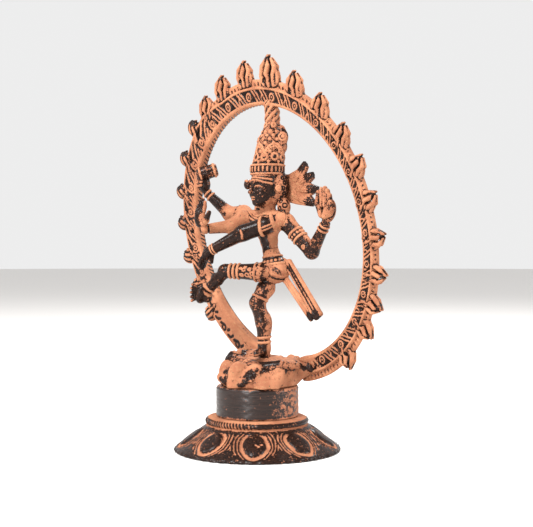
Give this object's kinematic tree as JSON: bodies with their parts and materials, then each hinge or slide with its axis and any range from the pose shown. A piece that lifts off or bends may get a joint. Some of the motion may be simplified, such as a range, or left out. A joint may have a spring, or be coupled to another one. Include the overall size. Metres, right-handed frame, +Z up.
{
  "type": "nataraja statue",
  "caption": "Cast brass dancing figure inside an oval arch of flames, on a mound, turned drum and lotus foot, with a matte terracotta finish buffed dark on its raised parts.",
  "frame": {"origin": "middle of the lotus foot's resting face", "axes": "+Z up through the foot's axis, -Y the way the dancer faces, +X the dancer's left"},
  "size_m": [0.1132, 0.07, 0.1639],
  "materials": {
    "terracotta_brass": "matte terracotta coating in the recesses, dark buffed brass on the ridges",
    "buffed_brass": "dark patina, buffed semi-gloss, terracotta coating in the recesses",
    "screw_brass": "plain machined brass"
  },
  "bodies": {
    "root": {"lotus_base": "buffed_brass", "base_drum": "buffed_brass", "base_screw_left": "screw_brass", "base_screw_right": "screw_brass", "standing_leg": "buffed_brass", "raised_leg": "buffed_brass", "front_left_arm": "buffed_brass", "rear_left_arm": "buffed_brass", "rear_right_arm": "terracotta_brass", "front_right_arm": "terracotta_brass", "sash_outer": "terracotta_brass", "sash_inner": "terracotta_brass", "hips": "terracotta_brass", "torso": "terracotta_brass", "hair_fan": "terracotta_brass", "crown": "terracotta_brass", "head": "buffed_brass", "hand_flame": "terracotta_brass", "hand_drum": "buffed_brass", "flame_arch": "terracotta_brass", "dwarf": "terracotta_brass", "mound": "terracotta_brass"}
  },
  "joints": []
}
